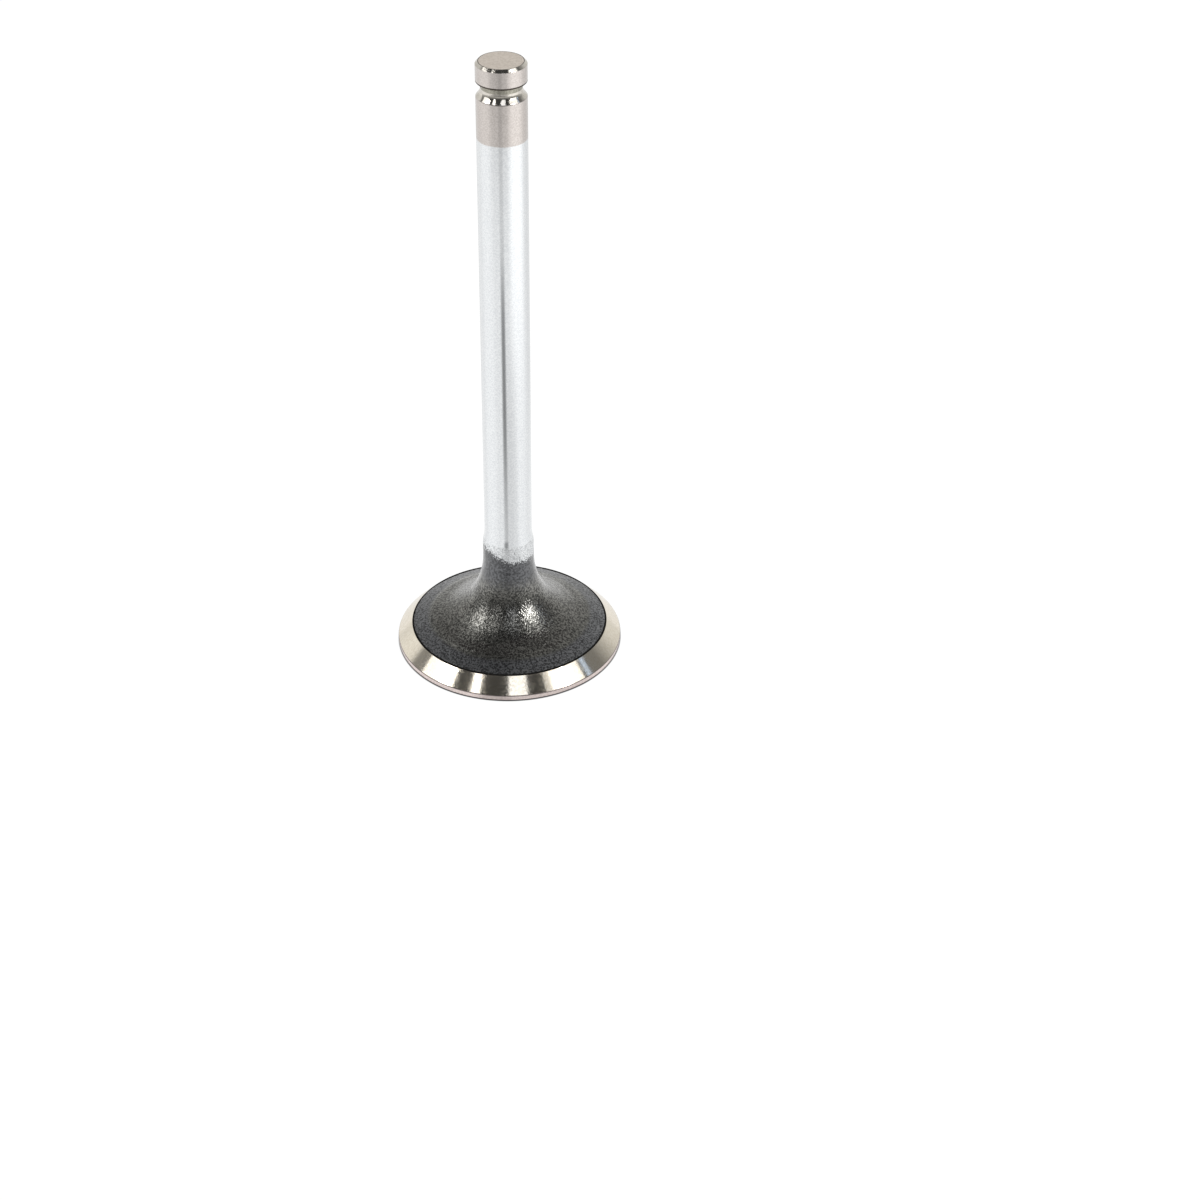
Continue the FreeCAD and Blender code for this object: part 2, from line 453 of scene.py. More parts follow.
# Painted shade: a dark line on the bead's lower edge and the shoulder over the groove, where the bead shades
# the groove, and painted dark lines round the rim of the end face and along the margin's upper edge.
PAINTED_EDGE_SHADE = SteelFinish(
    name="tip steel, painted edge shade",
    bright="5A524B",
    dull="2E2926",
    gloss=0.35,
    gloss_spread=0.05,
    grain_mm=0.3,
    relief_mm=0.002,
    contrast=0.8,
)
# Bevels that were polished after grinding: small mirrors, which flash white and black.
POLISHED_BEVEL = SteelFinish(
    name="tip steel, polished bevel",
    bright="DDD8CF",
    dull="CAC4BA",
    gloss=0.09,
    gloss_spread=0.02,
    grain_mm=0.6,
    relief_mm=0.02,
)
# Austenitic valve steel, seat ground: a bright warm mirror with streaks up and down the cone.
GROUND_SEAT = SteelFinish(
    name="valve steel, seat ground",
    bright="EDE5D6",
    dull="DFD5C3",
    gloss=0.105,
    gloss_spread=0.03,
    grain_mm=0.55,
    relief_mm=0.0045,
    lay=Lay.RINGS_ON_SIDE,
    lay_pitch_mm=0.35,
    lay_depth_mm=0.0006,
    stretch=0.3,
)
# The margin under the seat, turned: duller than the seat, with a trace of pink.
TURNED_MARGIN = SteelFinish(
    name="valve steel, margin turned",
    bright="E8DAD6",
    dull="CFC1BC",
    gloss=0.2,
    gloss_spread=0.05,
    grain_mm=0.4,
    relief_mm=0.001,
    lay=Lay.RINGS_ON_SIDE,
    lay_pitch_mm=0.25,
    lay_depth_mm=0.0015,
    stretch=0.4,
)
# The combustion face, faced on a lathe: light gathers in fans across its rings.
FACED_HEAD = SteelFinish(
    name="valve steel, faced",
    bright="D9D1C6",
    dull="C0B7AB",
    gloss=0.32,
    gloss_spread=0.05,
    grain_mm=0.5,
    relief_mm=0.001,
    lay=Lay.RINGS_ON_FACE,
    lay_pitch_mm=0.35,
    lay_depth_mm=0.002,
    stretch=0.7,
)
# The centre recess, left as the press formed it: dark and rough, with glints.
FORGED_RECESS = SteelFinish(
    name="valve steel, forged recess",
    bright="8E877E",
    dull="45403B",
    gloss=0.42,
    gloss_spread=0.08,
    grain_mm=0.45,
    relief_mm=0.03,
    contrast=0.8,
)
# Forged, blasted and salt-bath nitrided: charcoal under a thin oxide film, with grains that catch the lamps
# as worm-like glints. The real grains are about 0.15 mm across. The render would blur them, so these are
# drawn coarser, as are those of the three skins below.
NITRIDED_FORGING = SteelFinish(
    name="valve steel, forged and nitrided",
    bright="8B8A85",
    dull="201F1D",
    gloss=0.22,
    gloss_spread=0.03,
    grain_mm=0.38,
    relief_mm=0.07,
    contrast=0.85,
    detail=1.0,
    film=0.3,
    film_gloss=0.25,
)
# The same skin in the fillet, where the film is whole: the flanks of the neck shine at a slant.
NITRIDED_FILLET = replace(
    NITRIDED_FORGING,
    name="valve steel, forged and nitrided, fillet",
    film=1.0,
    film_gloss=0.17,
)
# The same skin high on the neck: darker and cooler.
NITRIDED_NECK = SteelFinish(
    name="valve steel, forged and nitrided, neck",
    bright="66676A",
    dull="1B1C1E",
    gloss=0.27,
    gloss_spread=0.03,
    grain_mm=0.42,
    relief_mm=0.06,
    contrast=0.75,
    detail=1.0,
    film=1.0,
)
# The same skin on the flat outer ring, where the blasting left it smoother: cooler and more even.
NITRIDED_RING = SteelFinish(
    name="valve steel, forged and nitrided, outer ring",
    bright="88898C",
    dull="161719",
    gloss=0.33,
    gloss_spread=0.03,
    grain_mm=0.36,
    relief_mm=0.047,
    contrast=0.85,
    detail=1.0,
    film=0.5,
)
# A black line along the seat's inner edge, wider towards the rear.
BLACK_SEAT_EDGE_LINE = SteelFinish(
    name="valve steel, black line at the seat's edge",
    bright="161514",
    dull="0C0B0B",
    gloss=0.5,
    gloss_spread=0.05,
    grain_mm=0.4,
    relief_mm=0.01,
    metallic=0.0,
    specular=0.0,
)
# The strip under the plating where the grinding wheel ran out: half bright, half nitrided skin.
GROUND_THROUGH_SKIN = SteelFinish(
    name="valve steel, ground through its skin",
    bright="F4F6F7",
    dull="ABAEB0",
    gloss=0.33,
    gloss_spread=0.05,
    grain_mm=0.3,
    relief_mm=0.006,
    contrast=0.65,
)


class Zone(Enum):
    """Stretches of the outline that carry a material of their own."""

    RECESS = "recess_forged"
    FACE = "face_turned"
    MARGIN = "margin_turned"
    SEAT = "seat_ground"
    NECK = "back_nitrided_to_chrome"
    STEM = "stem_hard_chrome"
    TIP_BAND = "tip_ground_steel"
    BEVEL = "bevel_polished"
    GROOVE = "groove_turned"
    TIP_FACE = "tip_face_ground"


BASE_FINISHES = {
    Zone.RECESS: FORGED_RECESS,
    Zone.FACE: FACED_HEAD,
    Zone.MARGIN: TURNED_MARGIN,
    Zone.SEAT: GROUND_SEAT,
    Zone.NECK: NITRIDED_FORGING,
    Zone.STEM: HARD_CHROME,
    Zone.TIP_BAND: HARD_CHROME,
    Zone.BEVEL: POLISHED_BEVEL,
    Zone.GROOVE: TURNED_GROOVE,
    Zone.TIP_FACE: GROUND_TIP_FACE,
}


@dataclass(frozen=True)
class Corner:
    """One corner of the outline.

    Attributes:
        radius: Distance from the axis in millimetres.
        height: Height over the combustion face in millimetres.
        rounding: Radius of the corner in millimetres.
        zone: What the stretch after the corner carries.
        step: Longest distance of two rings on that stretch in millimetres.
    """

    radius: float
    height: float
    rounding: float
    zone: Zone
    step: float


@dataclass(frozen=True)
class Stretch:
    """A straight or round stretch of the outline, between two rings and more.

    Attributes:
        points: Radius and height of each ring in millimetres.
        normals: Outward direction at each ring, in the outline's plane.
        zone: What the stretch carries.
    """

    points: list[Vector]
    normals: list[Vector]
    zone: Zone


class Outline:
    """The turned outline: straight stretches with round corners between them."""

    # Fewest and most steps of a round corner.
    least_steps = 3
    most_steps = 48

    def __init__(self, corners: list[Corner]) -> None:
        """Keeps the corners, from the recess's middle round to the tip's middle."""
        self.corners = corners

    @staticmethod
    def outward(direction: Vector) -> Vector:
        """Returns the direction to the right of travel, which is away from the steel."""
        return Vector((direction.y, -direction.x))

    def rounded(self, index: int) -> tuple[Vector, Vector, list[Vector], list[Vector]]:
        """Rounds one corner.

        Args:
            index: Number of the corner.

        Returns:
            Where the round starts and ends, its points, and the outward direction at each.
        """
        here = self.corners[index]
        place = Vector((here.radius, here.height))
        if index in (0, len(self.corners) - 1) or here.rounding == 0:
            return place, place, [], []
        before, after = self.corners[index - 1], self.corners[index + 1]
        inward = (place - Vector((before.radius, before.height))).normalized()
        onward = (Vector((after.radius, after.height)) - place).normalized()
        turn = inward.angle_signed(onward)
        reach = here.rounding * math.tan(abs(turn) / 2)
        start, end = place - inward * reach, place + onward * reach
        convex = inward.x * onward.y - inward.y * onward.x > 0
        side = -1.0 if convex else 1.0
        centre = start + self.outward(inward) * here.rounding * side
        length = here.rounding * abs(turn)
        count = max(self.least_steps, min(self.most_steps, math.ceil(length / here.step)))
        points, normals = [], []
        for k in range(count + 1):
            angle = abs(turn) * k / count * (1.0 if convex else -1.0)
            spoke = Matrix.Rotation(angle, 2) @ self.outward(inward)
            normals.append(spoke)
            points.append(centre - spoke * here.rounding * side)
        return start, end, points, normals

    def stretches(self) -> list[Stretch]:
        """Lays rings along the outline.

        Returns:
            The stretches in order. Each starts where the last one ends.
        """
        made = []
        _, last, _, _ = self.rounded(0)
        for index in range(1, len(self.corners)):
            before = self.corners[index - 1]
            start, end, points, normals = self.rounded(index)
            run = start - last
            if run.length > SAME_PLACE:
                count = max(1, math.ceil(run.length / before.step))
                facing = self.outward(run.normalized())
                line = [last + run * (k / count) for k in range(count + 1)]
                made.append(Stretch(line, [facing] * (count + 1), before.zone))
            if points:
                made.append(Stretch(points, normals, before.zone))
            last = end
        return made


def held(value: float) -> float:
    """Returns the value, held between 0 and 1."""
    return min(1.0, max(0.0, value))


@dataclass(frozen=True)
class ForgedSkin:
    """The unevenness of the forged back, as real relief in the mesh.

    Attributes:
        swell_mm: Width of the broad swells.
        swell_height_mm: Height of the broad swells.
        ripple_mm: Width of the finer ripples.
        ripple_height_mm: Height of the finer ripples.
        ripple_shift: Shift of the ripples' pattern against that of the swells.
        ring_radius_mm: Radius of the faint ring where the die's fillet ends.
        ring_shift_mm: How far that ring's centre lies to the left of the axis.
        ring_step_mm: Height of the step at the ring.
        ring_width_mm: Width of the step at the ring.
        rim_mm: Radius where the relief starts to fade under the seat.
        rim_fade_mm: Width of that fade.
        top_mm: Height where the relief has faded out on the neck.
        top_fade_mm: Height of that fade.
    """

    swell_mm: float = 3.2
    swell_height_mm: float = 0.035
    ripple_mm: float = 1.1
    ripple_height_mm: float = 0.016
    ripple_shift: tuple[float, float, float] = (7.0, 3.0, 1.0)
    ring_radius_mm: float = 14.75
    ring_shift_mm: float = 1.5
    ring_step_mm: float = 0.1
    ring_width_mm: float = 0.15
    rim_mm: float = 19.2
    rim_fade_mm: float = 0.5
    top_mm: float = 20.0
    top_fade_mm: float = 3.0

    def height(self, place: Vector) -> float:
        """Works out the relief at a point.

        Args:
            place: The point in millimetres.

        Returns:
            How far the skin stands out there in millimetres.
        """
        radius = math.hypot(place.x, place.y)
        fade = held((self.rim_mm + self.rim_fade_mm - radius) / self.rim_fade_mm)
        fade *= held((self.top_mm - place.z) / self.top_fade_mm)
        if fade == 0:
            return 0.0
        swell = noise.noise(place / self.swell_mm) * self.swell_height_mm
        ripple = noise.noise(place / self.ripple_mm + Vector(self.ripple_shift)) * self.ripple_height_mm
        from_ring = math.hypot(place.x + self.ring_shift_mm, place.y) - self.ring_radius_mm
        step = self.ring_step_mm / (1 + math.exp(from_ring / self.ring_width_mm))
        return (swell + ripple + step) * fade


@dataclass(frozen=True)
class Head:
    """The head: recess, combustion face, margin, seat and the forged back, in millimetres."""

    recess_depth: float = 3.2
    recess_floor_radius: float = 3.6
    recess_mouth_radius: float = 4.4
    floor_rounding: float = 1.4
    mouth_rounding: float = 0.2
    radius: float = HEAD_RADIUS
    edge_break: float = 0.25
    edge_rounding: float = 0.05
    margin_height: float = 1.17
    seat_foot_rounding: float = 0.3
    seat_inner_radius: float = 19.85
    back_angle: float = 20.0
    fillet: float = 14.0
    neck_radius: float = NECK_RADIUS

    @property
    def seat_top(self) -> float:
        """Height of the seat's inner edge. The seat is at 45 degrees."""
        return self.margin_height + self.radius - self.seat_inner_radius

    def corners(self) -> list[Corner]:
        """Returns the outline's corners from the recess's middle to the foot of the neck."""
        rise = (self.seat_inner_radius - self.neck_radius) * math.tan(math.radians(self.back_angle))
        return [
            Corner(0.0, self.recess_depth, 0.0, Zone.RECESS, step=0.4),
            Corner(self.recess_floor_radius, self.recess_depth, self.floor_rounding, Zone.RECESS, step=0.4),
            Corner(self.recess_mouth_radius, 0.0, self.mouth_rounding, Zone.FACE, step=1.2),
            Corner(self.radius - self.edge_break, 0.0, self.edge_rounding, Zone.MARGIN, step=0.2),
            Corner(self.radius, self.edge_break, self.edge_rounding, Zone.MARGIN, step=0.3),
            Corner(self.radius, self.margin_height, self.seat_foot_rounding, Zone.SEAT, step=0.6),
            Corner(self.seat_inner_radius, self.seat_top, self.edge_rounding, Zone.NECK, step=0.35),
            Corner(self.neck_radius, self.seat_top + rise, self.fillet, Zone.NECK, step=0.35),
        ]


@dataclass(frozen=True)
class Stem:
    """The neck's taper and the plated stem, in millimetres."""

    radius: float = STEM_RADIUS
    neck_radius: float = NECK_RADIUS
    taper_foot: float = 23.3
    taper_top: float = 25.9
    taper_rounding: float = 6.0
    neck_finish_top: float = 28.0
    plating_top: float = 110.4
    tip_band_below: float = 1.0

    def corners(self) -> list[Corner]:
        """Returns the outline's corners from the neck's taper to the unplated band."""
        return [
            Corner(self.neck_radius, self.taper_foot, self.taper_rounding, Zone.NECK, step=0.3),
            Corner(self.radius, self.taper_top, self.taper_rounding, Zone.NECK, step=1.0),
            Corner(self.radius, self.neck_finish_top, 0.0, Zone.STEM, step=4.0),
            Corner(self.radius, self.plating_top - self.tip_band_below, 0.0, Zone.TIP_BAND, step=2.0),
        ]


@dataclass(frozen=True)
class Tip:
    """The hardened tip with its keeper groove, in millimetres."""

    radius: float = STEM_RADIUS
    groove_foot: float = 118.4
    groove_foot_rounding: float = 0.4
    groove_radius: float = 3.85
    flank_top: float = 119.45
    flank_sweep: float = 1.8
    root_rounding: float = 0.3
    bead_foot: float = 121.2
    bead_rounding: float = 0.2
    chamfer: float = 0.5
    edge_rounding: float = 0.05
    top: float = LENGTH

    @property
    def face_radius(self) -> float:
        """Radius of the end face."""
        return self.radius - self.chamfer

    def corners(self) -> list[Corner]:
        """Returns the outline's corners from the groove's flank to the tip's middle."""
        return [
            Corner(self.radius, self.groove_foot, self.groove_foot_rounding, Zone.BEVEL, step=0.12),
            Corner(self.groove_radius, self.flank_top, self.flank_sweep, Zone.GROOVE, step=0.12),
            Corner(self.groove_radius, self.bead_foot, self.root_rounding, Zone.GROOVE, step=0.12),
            Corner(self.radius, self.bead_foot, self.bead_rounding, Zone.TIP_BAND, step=0.8),
            Corner(self.radius, self.top - self.chamfer, self.edge_rounding, Zone.BEVEL, step=0.2),
            Corner(self.face_radius, self.top, self.edge_rounding, Zone.TIP_FACE, step=1.0),
            Corner(0.0, self.top, 0.0, Zone.TIP_FACE, step=1.0),
        ]


Coat = tuple[Field, SteelFinish]


@dataclass(frozen=True)
class Finisher:
    """Makes the valve's materials, one for each zone: a base finish and the coats over it.

    Heights and radii are in millimetres.

    Attributes:
        head: Sizes of the head.
        stem: Sizes of the stem.
        tip: Sizes of the tip.
        outer_ring: Radii between which the smoother skin of the outer ring takes over.
        fillet: Heights between which the whole film of the fillet takes over.
        neck: Heights between which the thick skin of the neck takes over.
        bare_skin: Height where the bare skin starts, from the left of the neck to the right.
        wear: How high a grain has to stand to be ground off, by the height over the bare skin's start.
        wear_blur: Further height of a grain over which it turns from skin to bright steel.
        black_line_start: Radius where the black line inside the seat starts, from the sides to the rear.
        black_line_blur: Width of that line's soft inner edge.
        chrome_foot: Heights between which the chrome starts, where its edge is lowest.
        foot_wave: Width of the waves in that edge, and their height.
        chrome_top: Heights over the plating's end between which the chrome ends, where its edge is lowest.
        top_wave: Width of the waves in that edge, and their height.
        groove_shade: The line of painted shade under the bead, by the height over the bead's foot.
        bead_shade: Upper end of that line on the bead's side.
        margin_shade: The painted dark line on the margin, by the height over the margin's upper edge.
        rim_shade: The painted dark line round the end face, by the distance from its rim.
    """

    head: Head
    stem: Stem
    tip: Tip
    outer_ring: Fade = Fade(15.8, 17.0)
    fillet: Fade = Fade(9.6, 12.0)
    neck: Fade = Fade(13.5, 17.5)
    bare_skin: Fade = Fade(-NECK_RADIUS, 0.3 * NECK_RADIUS, 22.6, 20.4)
    wear: Fade = Fade(-1.5, 1.9, 0.72, 0.27)
    wear_blur: float = 0.12
    black_line_start: Fade = Fade(0.5, 0.92, 19.52, 19.0)
    black_line_blur: float = 0.12
    chrome_foot: Fade = Fade(24.2, 24.4)
    foot_wave: tuple[float, float] = (1.6, 0.3)
    chrome_top: Fade = Fade(-0.3, -0.05)
    top_wave: tuple[float, float] = (1.2, 0.35)
    groove_shade: Fade = Fade(-0.08, 0.0)
    bead_shade: Fade = Fade(0.3, 0.42, 1.0, 0.0)
    margin_shade: Fade = Fade(-0.17, -0.08, 0.0, 0.65)
    rim_shade: Fade = Fade(-0.2, -0.1)

    def neck_coats(self, place: Place) -> list[Coat]:
        """Lists what lies over the forged back: other skins, the strip ground bright, a black line at the
        seat's edge and chrome.

        Args:
            place: Where the surface's points lie.

        Returns:
            The coats, from the lowest up, each with the share that it covers.
        """
        over_skin = place.height - place.across.ramp(*self.bare_skin)
        least = over_skin.ramp(*self.wear)
        worn = place.grain(WEAR_GRAIN_MM, WEAR_DETAIL).ramp(least, least + self.wear_blur)
        black_line_start = place.toward(0.0, 1.0).ramp(*self.black_line_start)
        width, height = self.foot_wave
        plated = place.height - place.grain(width) * height
        return [
            (place.from_axis.ramp(*self.outer_ring), NITRIDED_RING),
            (place.height.ramp(*self.fillet), NITRIDED_FILLET),
            (place.height.ramp(*self.neck), NITRIDED_NECK),
            (worn, GROUND_THROUGH_SKIN),
            (place.from_axis.ramp(black_line_start - self.black_line_blur, black_line_start), BLACK_SEAT_EDGE_LINE),
            (plated.ramp(*self.chrome_foot), HARD_CHROME),
        ]

    def tip_coats(self, place: Place) -> list[Coat]:
        """Lists what follows the chrome on the tip: bare steel, and the line of painted shade on the bead.

        Args:
            place: Where the surface's points lie.

        Returns:
            The coats, from the lowest up, each with the share that it covers.
        """
        width, height = self.top_wave
        over_chrome = place.height - place.grain(width) * height - self.stem.plating_top
        over_bead_foot = place.height - self.tip.bead_foot
        # The line under the bead is painted shade.
        painted_shade = over_bead_foot.ramp(*self.groove_shade) * over_bead_foot.ramp(*self.bead_shade)
        return [(over_chrome.ramp(*self.chrome_top), GROUND_TIP_STEEL), (painted_shade, PAINTED_EDGE_SHADE)]

    def coats(self, zone: Zone, place: Place) -> list[Coat]:
        """Lists the coats over a zone's base finish.

        Args:
            zone: The zone.
            place: Where the surface's points lie.

        Returns:
            The coats, from the lowest up, each with the share that it covers.
        """
        if zone is Zone.NECK:
            return self.neck_coats(place)
        if zone is Zone.TIP_BAND:
            return self.tip_coats(place)
        if zone is Zone.GROOVE:
            # Painted shade under the bead.
            return [((place.height - self.tip.bead_foot).ramp(*self.groove_shade), PAINTED_EDGE_SHADE)]
        if zone is Zone.MARGIN:
            # A painted dark line along the margin's upper edge.
            return [((place.height - self.head.margin_height).ramp(*self.margin_shade), PAINTED_EDGE_SHADE)]
        if zone is Zone.TIP_FACE:
            # A painted dark line round the end face's rim.
            return [((place.from_axis - self.tip.face_radius).ramp(*self.rim_shade), PAINTED_EDGE_SHADE)]
        return []

    def material(self, zone: Zone, base: SteelFinish) -> bpy.types.Material:
        """Makes one zone's material.

        Args:
            zone: The zone.
            base: The finish under all its coats.

        Returns:
            The material.
        """
        made = bpy.data.materials.new(zone.value)
        tree = empty_tree(made)
        shader = base.shader(tree)
        names = [base.name]
        for share, finish in self.coats(zone, Place(tree)):
            inputs = {0: share, 1: shader, 2: finish.shader(tree)}
            shader = add_node(tree, "ShaderNodeMixShader", {}, inputs).outputs[0]
            names.append(finish.name)
        add_node(tree, "ShaderNodeOutputMaterial", {}, {0: shader})
        log.info("material %s: %s", zone.value, "; ".join(names))
        return made

    def make_all(self) -> dict[Zone, bpy.types.Material]:
        """Returns the materials of all zones."""
        return {zone: self.material(zone, base) for zone, base in BASE_FINISHES.items()}


@dataclass
class TurnedMesh:
    """A mesh that grows ring by ring round the valve's axis, in millimetres.

    Attributes:
        sides: How many faces go once round.
        skin: Relief of the forged back.
        vertices: Its points.
        faces: Numbers of the points of each face.
        zones: What each face carries.
        normals: Direction of each corner of a face. Where it is zero, the corner follows the relief.
        spokes: Level directions of a ring's points.
    """

    sides: int
    skin: ForgedSkin
    vertices: list[Vector] = field(default_factory=list)
    faces: list[list[int]] = field(default_factory=list)
    zones: list[Zone] = field(default_factory=list)
    normals: list[Vector] = field(default_factory=list)
    spokes: list[Vector] = field(init=False)

    def __post_init__(self) -> None:
        """Works out the spokes."""
        turns = [math.tau * k / self.sides for k in range(self.sides)]
        self.spokes = [Vector((math.cos(turn), math.sin(turn))) for turn in turns]

    @staticmethod
    def swung(flat: Vector, spoke: Vector) -> Vector:
        """Returns a place or direction of the outline's plane, swung round the axis to a spoke."""
        return Vector((spoke.x * flat.x, spoke.y * flat.x, flat.y))

    def ring(self, point: Vector, facing: Vector, zone: Zone) -> list[int]:
        """Lays one ring of points, or a single one on the axis.

        Args:
            point: Radius and height of the ring.
            facing: Outward direction there.
            zone: What the ring carries. The forged skin gets its relief.

        Returns:
            The numbers of the ring's points.
        """
        if point.x < SAME_PLACE:
            self.vertices.append(Vector((0.0, 0.0, point.y)))
            return [len(self.vertices) - 1] * self.sides
        first = len(self.vertices)
        for spoke in self.spokes:
            place = self.swung(point, spoke)
            if zone is Zone.NECK:
                place += self.swung(facing, spoke) * self.skin.height(place)
            self.vertices.append(place)
        return list(range(first, first + self.sides))

    def band(self, lower: list[int], upper: list[int], facings: tuple[Vector, Vector], zone: Zone) -> None:
        """Joins two rings with faces.

        Args:
            lower: Points of the first ring.
            upper: Points of the second ring.
            facings: Outward directions at the two rings.
            zone: What the band carries. The forged skin takes its normals from its relief.
        """
        for k in range(self.sides):
            n = (k + 1) % self.sides
            loop = [(lower, k, 0), (lower, n, 0), (upper, n, 1), (upper, k, 1)]
            if lower[k] == lower[n]:
                loop.pop(0)
            elif upper[k] == upper[n]:
                loop.pop(2)
            self.faces.append([ring[i] for ring, i, _ in loop])
            self.zones.append(zone)
            for _, i, end in loop:
                free = zone is Zone.NECK
                self.normals.append(Vector() if free else self.swung(facings[end], self.spokes[i]))


@dataclass
class Valve:
    """The whole valve as one closed turned mesh.

    Attributes:
        head: Sizes of the head.
        stem: Sizes of the stem.
        tip: Sizes of the tip.
        skin: Relief of the forged back.
        sides: How many faces go once round.
    """

    head: Head = field(default_factory=Head)
    stem: Stem = field(default_factory=Stem)
    tip: Tip = field(default_factory=Tip)
    skin: ForgedSkin = field(default_factory=ForgedSkin)
    sides: int = 360

    def turn(self) -> TurnedMesh:
        """Turns the outline round the axis.

        Returns:
            The mesh in millimetres.
        """
        corners = self.head.corners() + self.stem.corners() + self.tip.corners()
        turned = TurnedMesh(self.sides, self.skin)
        last: list[int] = []
        for stretch in Outline(corners).stretches():
            for k, (point, facing) in enumerate(zip(stretch.points, stretch.normals)):
                if k == 0 and last:
                    continue
                ring = turned.ring(point, facing, stretch.zone)
                if k > 0:
                    turned.band(last, ring, (stretch.normals[k - 1], facing), stretch.zone)
                last = ring
        return turned

    def build(self) -> bpy.types.Object:
        """Makes the valve and dresses it.

        Returns:
            The valve, riding on its CAD body.
        """
        turned = self.turn()
        materials = Finisher(self.head, self.stem, self.tip).make_all()
        mesh = bpy.data.meshes.new(PIECE)
        mesh.from_pydata([vertex * MM for vertex in turned.vertices], [], turned.faces)
        zones = list(Zone)
        for zone in zones:
            mesh.materials.append(materials[zone])
        mesh.polygons.foreach_set("material_index", [zones.index(zone) for zone in turned.zones])
        mesh.shade_smooth()
        mesh.normals_split_custom_set(turned.normals)
        valve = bpy.data.objects.new(PIECE, mesh)
        bpy.context.scene.collection.objects.link(valve)
        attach(valve, "root")
        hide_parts(CAD_NODE)
        log.info("piece %s: %d faces", PIECE, len(turned.faces))
        return valve


@dataclass(frozen=True)
class Softbox:
    """A flat rectangular lamp, hidden from the camera.

    Attributes:
        name: Name of the lamp.
        azimuth: Direction in degrees, 0 in front and 90 at the right.
        elevation: Height in degrees.
        width: Width in degrees.
        height: Height in degrees.
        strength: Brightness, where white paper is 1.
        lean: How far its top leans towards smaller azimuths in degrees.
        colour: sRGB colour.
        distance: Distance from the valve in metres.
    """

    name: str
    azimuth: float
    elevation: float
    width: float
    height: float
    strength: float
    lean: float = 0.0
    colour: str = "FFFFFF"
    distance: float = 1.6

    def hang(self, target: Vector) -> None:
        """Puts the lamp in the scene.

        Args:
            target: Point that it faces.
        """
        turn, rise = math.radians(self.azimuth), math.radians(self.elevation)
        way = Vector((math.sin(turn) * math.cos(rise), -math.cos(turn) * math.cos(rise), math.sin(rise)))
        lamp = bpy.data.lights.new(self.name, "AREA")
        lamp.shape = "RECTANGLE"
        lamp.size = 2 * self.distance * math.tan(math.radians(self.width) / 2)
        lamp.size_y = 2 * self.distance * math.tan(math.radians(self.height) / 2)
        lamp.energy = self.strength * math.pi * lamp.size * lamp.size_y
        lamp.color = linear(self.colour)[:3]
        holder = bpy.data.objects.new(self.name, lamp)
        holder.matrix_world = (
            Matrix.Translation(target + way * self.distance)
            @ way.to_track_quat("Z", "Y").to_matrix().to_4x4()
            @ Matrix.Rotation(math.radians(self.lean), 4, "Z")
        )
        holder.visible_camera = False
        bpy.context.scene.collection.objects.link(holder)
        log.info("lamp %s", self.name)


# The lamps and cards that the photo's reflections show, from the left round the front to the right.
SOFTBOXES = (
    Softbox("left_softbox", azimuth=-84.9, elevation=35.3, width=27.5, height=30, lean=18, strength=1.5),
    Softbox("left_softbox_top", azimuth=-104, elevation=56.3, width=19, height=14, lean=18, strength=0.75),
    Softbox("left_core", azimuth=-78, elevation=42.5, width=16, height=13, strength=3.5),
    Softbox("left_strip", azimuth=-41, elevation=46, width=7.2, height=34, lean=14, strength=2.2),
    Softbox("left_strip_top", azimuth=-57, elevation=60, width=6, height=5, lean=14, strength=1.2),
    Softbox(
        "front_window", azimuth=9.3, elevation=48, width=14.2, height=30, strength=1.45, colour="F6F9FF"
    ),
    Softbox("overhead_card", azimuth=0, elevation=87, width=26, height=14, strength=0.15),
    Softbox("right_flap", azimuth=44.5, elevation=46.4, width=4.2, height=36, lean=-16, strength=0.74),
    Softbox("right_softbox", azimuth=65.5, elevation=36.7, width=28.5, height=29, lean=-16, strength=1.5),
    Softbox(
        "right_softbox_top", azimuth=73.9, elevation=55.9, width=28.5, height=11, lean=-16, strength=0.55
    ),
    Softbox("right_crown", azimuth=74, elevation=57, width=24, height=6, lean=-16, strength=1.6),
    Softbox("right_core", azimuth=57, elevation=36, width=15, height=13, strength=12.0),
    Softbox(
        "right_strip", azimuth=89.5, elevation=34, width=4, height=24, lean=-16, strength=1.5, colour="A9BBD6"
    ),
)


@dataclass(frozen=True)
class Patch:
    """A patch of the floor that is brighter or darker in reflections.

    Attributes:
        right: Part of its direction from the valve that points to the right.
        back: Part of that direction that points to the back.
        sides: How its strength grows from its sides to its middle.
        distances: How its strength changes with the distance from the axis in millimetres.
    """

    right: float
    back: float
    sides: Fade
    distances: tuple[Fade, ...] = ()

    def share(self, place: Place) -> Field:
        """Works out how strong the patch is.

        Args:
            place: Where the floor's points lie.

        Returns:
            What it adds or takes off at each point.
        """
        share = place.toward(self.right, self.back).ramp(*self.sides)
        for distance in self.distances:
            share = share * place.from_axis.ramp(*distance)
        return share


# What is added to the floor's level: light of the right lamps, of the left ones and of the backdrop, and a
# shade just in front of the valve.
ADDED_PATCHES = (
    Patch(0.88, -0.47, Fade(0.68, 1.0), (Fade(60.0, 200.0, 0.1, 0.39),)),
    Patch(-0.985, -0.17, Fade(0.75, 1.0, 0.0, 0.12)),
    Patch(0.0, 1.0, Fade(0.5, 0.9, 0.0, 0.04)),
    Patch(0.34, -0.94, Fade(0.8, 0.97), (Fade(80.0, 160.0, -0.17, 0.0),)),
)
